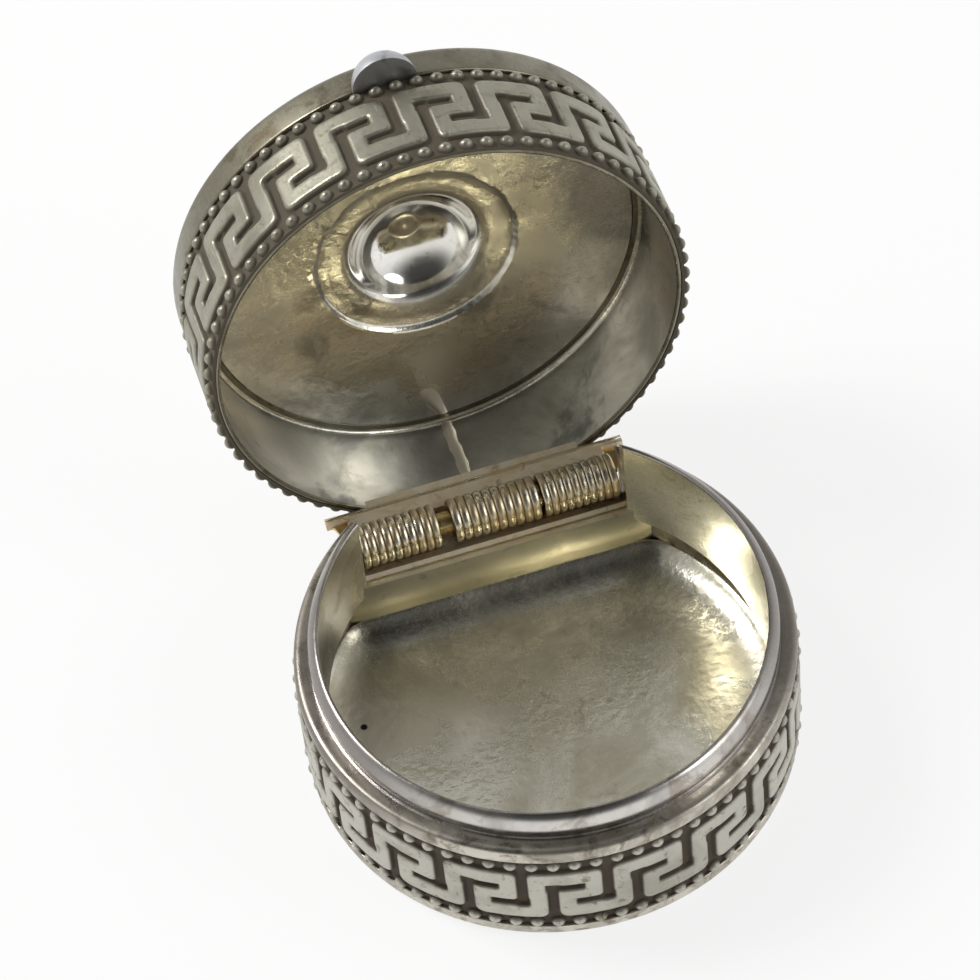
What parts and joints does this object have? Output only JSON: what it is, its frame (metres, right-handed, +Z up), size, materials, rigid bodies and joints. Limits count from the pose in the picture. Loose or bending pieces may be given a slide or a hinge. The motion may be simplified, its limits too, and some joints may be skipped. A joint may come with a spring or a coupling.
{
  "type": "round hinged trinket box",
  "caption": "Small round metal box with a domed hinged lid, a ribbed barrel hinge, a thumbpiece and a key-pattern band between bead rows on base and lid.",
  "frame": {"origin": "centre of the flat underside of the base", "axes": "+Z up, +X along the hinge pin, +Y towards the hinge at the back; the thumbpiece is at -Y when the lid is shut"},
  "size_m": [0.03, 0.0434, 0.033],
  "materials": {
    "silver_plain": "tarnished",
    "silver_worked": "oxidised in the recesses",
    "silver_inside": "worn and yellowed",
    "hinge_gilt": "worn",
    "pin_brass": "satin",
    "enamel": "gloss"
  },
  "bodies": {
    "base": {"base_wall": "silver_plain", "base_strip": "silver_worked", "neck_sleeve": "silver_plain", "floor_pan": "silver_inside", "back_wall": "silver_inside", "hinge_trough": "silver_inside", "base_knuckle_left": "hinge_gilt", "base_knuckle_right": "hinge_gilt", "hinge_pin": "pin_brass"},
    "lid": {"lid_wall": "silver_inside", "lid_strip": "silver_worked", "lid_rim": "silver_plain", "lid_top": "silver_inside", "lid_plaque": "enamel", "thumbpiece": "silver_plain", "lid_hinge_leaf": "hinge_gilt", "lid_knuckle": "hinge_gilt"}
  },
  "joints": [
    {"name": "lid_hinge", "type": "hinge", "parent": "base", "child": "lid", "pos_m": [0, 0.01217, 0.00575], "axis": [1, 0, 0], "range_deg": [0, 96.2]}
  ]
}
